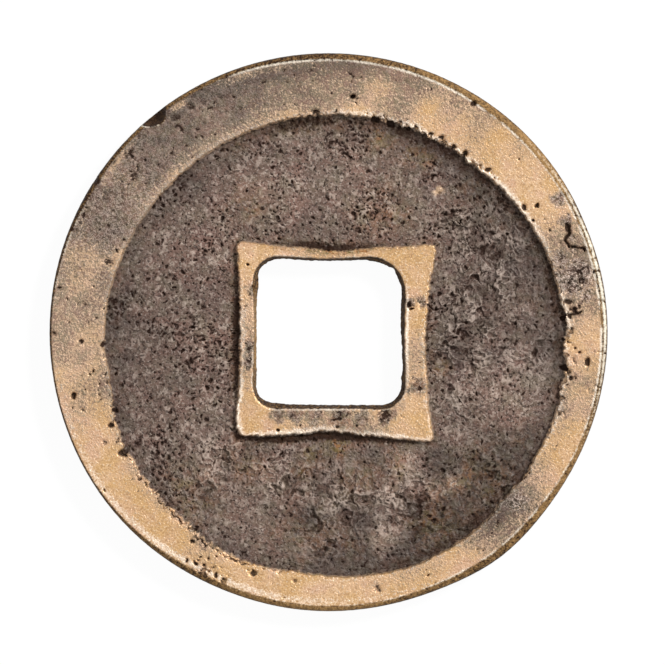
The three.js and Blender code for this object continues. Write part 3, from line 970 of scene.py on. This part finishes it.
def tinted(colour, tints):
    """Mixes tints into a colour by noise: noise, its range, most of the tint, tint."""
    for value, low, high, most, tint in tints:
        colour = mixed(spread(value, low, high, 0, most), colour, tint)
    return colour


def toned(colour, tone):
    """A colour made darker or lighter by the tone."""
    inputs = {"Vector": colour, "Scale": spread(tone, 0, 1, 0.44, 1.56)}
    made = node(tone.id_data, "ShaderNodeVectorMath", inputs, operation="SCALE")
    return made.outputs["Vector"]


def metal_colour(tone, grain, fleck, patch, cloud):
    """Tan metal with golden and pinkish clouds, and light and dark grains."""
    return tinted(mixed(tone, (208, 166, 122), (228, 190, 150)), [
        (cloud, 0.48, 0.62, 0.7, (206, 164, 108)),
        (cloud, 0.45, 0.34, 0.5, (210, 168, 144)),
        (patch, 0.46, 0.32, 0.35, (182, 142, 106)),
        (fleck, 0.46, 0.30, 0.5, (168, 130, 98)),
        (grain, 0.54, 0.74, 0.5, (250, 230, 204)),
        (grain, 0.47, 0.28, 0.65, (150, 108, 70)),
    ])


def patina_colour(tree, tone, grain, fleck, patch, cloud, sunk):
    """Brown patina with pinkish, olive and purple clouds, light grains, painted highlights on
    crests and raised grains, and dark pits.
    """
    colour = tinted((108, 86, 74), [
        (cloud, 0.52, 0.66, 0.6, (121, 89, 77)),
        (cloud, 0.47, 0.34, 0.6, (102, 89, 72)),
        (patch, 0.54, 0.66, 0.5, (104, 75, 65)),
        (patch, 0.46, 0.34, 0.45, (115, 103, 87)),
        (share_of(tree, "tint"), 0, 1, 0.5, (82, 60, 57)),
        (fleck, 0.46, 0.30, 0.55, (64, 42, 29)),
        (grain, 0.55, 0.70, 0.65, (178, 162, 150)),
        # Painted highlight on crests and raised grains
        (share_of(tree, "highlit_grain"), 0, 1, 1, (198, 178, 164)),
    ])
    return mixed(sunk, toned(colour, tone), (47, 28, 18))


def rim_patina_colour(tone, fleck, patch):
    """The browner patina of the rims, olive and pinkish in patches."""
    flecked = spread(fleck, 0.40, 0.60)
    olive = mixed(flecked, (80, 69, 48), (146, 128, 98))
    pinkish = mixed(flecked, (90, 66, 51), (156, 122, 101))
    colour = mixed(spread(patch, 0.44, 0.56), olive, pinkish)
    return toned(colour, tone)


def bronze_material():
    """Worn bronze: tan metal on the rims, brown patina in the fields and stains, near-black
    grime in the pits with painted shade along the walls' feet, and brighter rubbed metal and
    painted highlights along the arrises."""
    material = bpy.data.materials.new("worn_bronze")
    material.use_nodes = True
    tree = material.node_tree
    shader = tree.nodes["Principled BSDF"]
    link = tree.links.new

    patina = share_of(tree, "patina")
    tone = share_of(tree, "tone")
    side = share_of(tree, "side")
    in_field = share_of(tree, "field")
    scaly = share_of(tree, "scaly")
    grain = noise(tree, 0.085, 1.5, 0.6)
    fleck = noise(tree, 0.16, 2.0, 0.6)
    patch = noise(tree, 0.42, 2.0, 0.5, 0.4)
    cloud = noise(tree, 0.9, 3.0)
    pock = noise(tree, 0.13, 1.0, 0.5, 0.5)
    vein = noise(tree, 0.15, 1.0, 0.5, 0.8)
    grains, flecks = (spread(value, 0.3, 0.7, -0.3, 0.3) for value in (grain, fleck))
    speckle = plus(grains, flecks)
    sunk = spread(in_field, 0, 1, 0.4, 0.8)
    sunk = times(spread(pock, 0.41, 0.34), sunk)
    # Scale in the stains: narrow crests with a painted highlight, with dark hollows between them
    from_crest = math_of("ABSOLUTE", math_of("SUBTRACT", vein, 0.48), 0)
    crest = times(scaly, spread(from_crest, 0.08, 0.02, 0, 0.8))
    hollow = times(scaly, spread(vein, 0.57, 0.66, 0, 0.65))
    # Thresholds keep the border between metal, patina, and grime and painted shade crisp and
    # broken up
    broken = times(speckle, spread(in_field, 0, 1, 1, 0.35))
    cover = spread(plus(patina, broken), 0.22, 0.80)
    cover = times(cover, spread(patina, 0, 0.5, 0.45, 1))
    grime_and_shade = times(speckle, 0.6)
    grime_and_shade = plus(share_of(tree, "grime_and_shade"), grime_and_shade)
    grime_and_shade = spread(grime_and_shade, 0.30, 0.75, 0, 0.94)
    grime_and_shade = larger(grime_and_shade, hollow)

    # Metal among patina is paler, and thin patina on metal is browner
    metal = metal_colour(tone, grain, fleck, patch, cloud)
    metal = mixed(spread(patina, 0.2, 0.6, 0, 0.85), metal, (198, 170, 144))
    dark = patina_colour(tree, tone, grain, fleck, patch, cloud, sunk)
    browner = spread(patina, 0.2, 0.9, 0.9, 0.4)
    browner = times(spread(in_field, 0, 1, 1, 0), browner)
    dark = mixed(browner, dark, rim_patina_colour(tone, fleck, patch))
    coat = mixed(cover, metal, dark)
    # Painted highlight on the scale's crests
    coat = mixed(crest, coat, (226, 202, 186))
    # Yellow-brown dirt, also a tint in the painted shade along the walls' feet
    dirt_and_shade_tint = mixed(spread(patch, 0.44, 0.56), (118, 98, 54), (144, 98, 54))
    dirty = times(share_of(tree, "dirt_and_shade_tint"), spread(fleck, 0.34, 0.56))
    coat = mixed(dirty, coat, toned(dirt_and_shade_tint, tone))
    # The side's colour, dark brown to tan: partly its own tone, partly painted light and shade
    side_tone = plus(share_of(tree, "side_tone_and_light"), speckle)
    coat = mixed(side, coat, mixed(side_tone, (48, 31, 19), (182, 142, 92)))
    # Near-black grime, also the colour of the painted shade along the walls' feet and in the
    # chip
    coat = mixed(grime_and_shade, coat, (42, 25, 17))
    # Rubbed metal and painted highlights, near white, grained at their borders
    rub_and_highlight = share_of(tree, "rub_and_highlight")
    grained = times(speckle, spread(rub_and_highlight, 0, 0.2, 0, 0.7))
    rub_and_highlight = spread(plus(rub_and_highlight, grained), 0.15, 0.95, 0, 0.95)
    coat = mixed(rub_and_highlight, coat, mixed(side, (252, 234, 214), (255, 246, 226)))
    link(coat, shader.inputs["Base Color"])

    hidden = larger(cover, side)
    hidden = larger(hidden, grime_and_shade)
    link(spread(hidden, 0, 1, 0.55, 0.06), shader.inputs["Metallic"])
    rough = spread(hidden, 0, 1, 0.44, 0.56)
    rough = plus(rough, spread(fleck, 0.3, 0.7, -0.07, 0.07))
    link(rough, shader.inputs["Roughness"])
    dull = larger(grime_and_shade, side)
    link(spread(dull, 0, 1, 0.45, 0.1), shader.inputs["Specular IOR Level"])

    uneven = plus(grain, fleck)
    uneven = math_of("SUBTRACT", uneven, times(sunk, cover))
    uneven = plus(uneven, math_of("SUBTRACT", crest, hollow))
    height = times(uneven, spread(cover, 0, 1, 0.15, 0.6))
    inputs = {"Strength": 0.9, "Distance": 0.05 * MM, "Height": height}
    link(node(tree, "ShaderNodeBump", inputs).outputs["Normal"], shader.inputs["Normal"])
    return material


def placed(name, data):
    """A new object in the scene."""
    made = bpy.data.objects.new(name, data)
    bpy.context.scene.collection.objects.link(made)
    return made


def make_coin():
    coin = placed("cash_coin_metal", coin_mesh())
    coin.data.materials.append(bronze_material())
    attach(coin, "root")
    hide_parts("cash_coin")
    return coin


def make_floor():
    """A plain white floor. Camera rays see it nearly white, and it keeps the shadow."""
    half = 3
    below_coin = 0.02 * MM
    seen_white = 0.94
    corners = [(-half, -half, 0), (half, -half, 0), (half, half, 0), (-half, half, 0)]
    mesh = bpy.data.meshes.new("floor")
    mesh.from_pydata(corners, [], [(0, 1, 2, 3)])
    floor = placed("floor", mesh)
    floor.location.z = -below_coin
    material = bpy.data.materials.new("white_floor")
    material.use_nodes = True
    tree = material.node_tree
    tree.nodes.clear()
    matt = node(tree, "ShaderNodeBsdfDiffuse", {"Color": (0.92, 0.92, 0.92, 1)})
    glow = node(tree, "ShaderNodeEmission", {"Color": (1, 1, 1, 1), "Strength": 1.02})
    path = node(tree, "ShaderNodeLightPath")
    share = times(path.outputs["Is Camera Ray"], seen_white)
    inputs = {0: share, 1: matt.outputs[0], 2: glow.outputs[0]}
    seen = node(tree, "ShaderNodeMixShader", inputs)
    node(tree, "ShaderNodeOutputMaterial", {"Surface": seen.outputs[0]})
    floor.data.materials.append(material)


def make_light():
    """Soft white light from all round, and a broad key light from the upper right."""
    world = bpy.data.worlds.new("studio")
    bpy.context.scene.world = world
    world.use_nodes = True
    tree = world.node_tree
    ground = tree.nodes["Background"]
    ground.inputs["Color"].default_value = (1, 1, 1, 1)
    path = node(tree, "ShaderNodeLightPath")
    seen = larger(path.outputs["Is Camera Ray"], path.outputs["Is Glossy Ray"])
    tree.links.new(spread(seen, 0, 1, 0.42, 1.0), ground.inputs["Strength"])

    bearing, height = math.radians(38), math.radians(42)
    key = bpy.data.lights.new("key", "SUN")
    key.energy = 2.7
    key.angle = math.radians(12)
    lamp = placed("key", key)
    towards = Vector((math.cos(bearing), math.sin(bearing), math.tan(height))).normalized()
    lamp.location = towards
    lamp.rotation_mode = "QUATERNION"
    lamp.rotation_quaternion = towards.to_track_quat("Z", "Y")


def make_camera():
    """Looks straight down, with the photograph's margins round the coin."""
    view_width = 29.75 * MM
    centre = Vector((0.175 * MM, -0.013 * MM, 0))
    distance = 0.4
    data = bpy.data.cameras.new("camera")
    data.sensor_width = 36
    data.lens = data.sensor_width * (distance - cad_high.z) / view_width
    data.clip_start = 0.01
    camera = placed("camera", data)
    camera.location = centre + Vector((0, 0, distance))
    bpy.context.scene.camera = camera


make_camera()
make_coin()
make_floor()
make_light()
bpy.context.scene.view_settings.view_transform = "Standard"
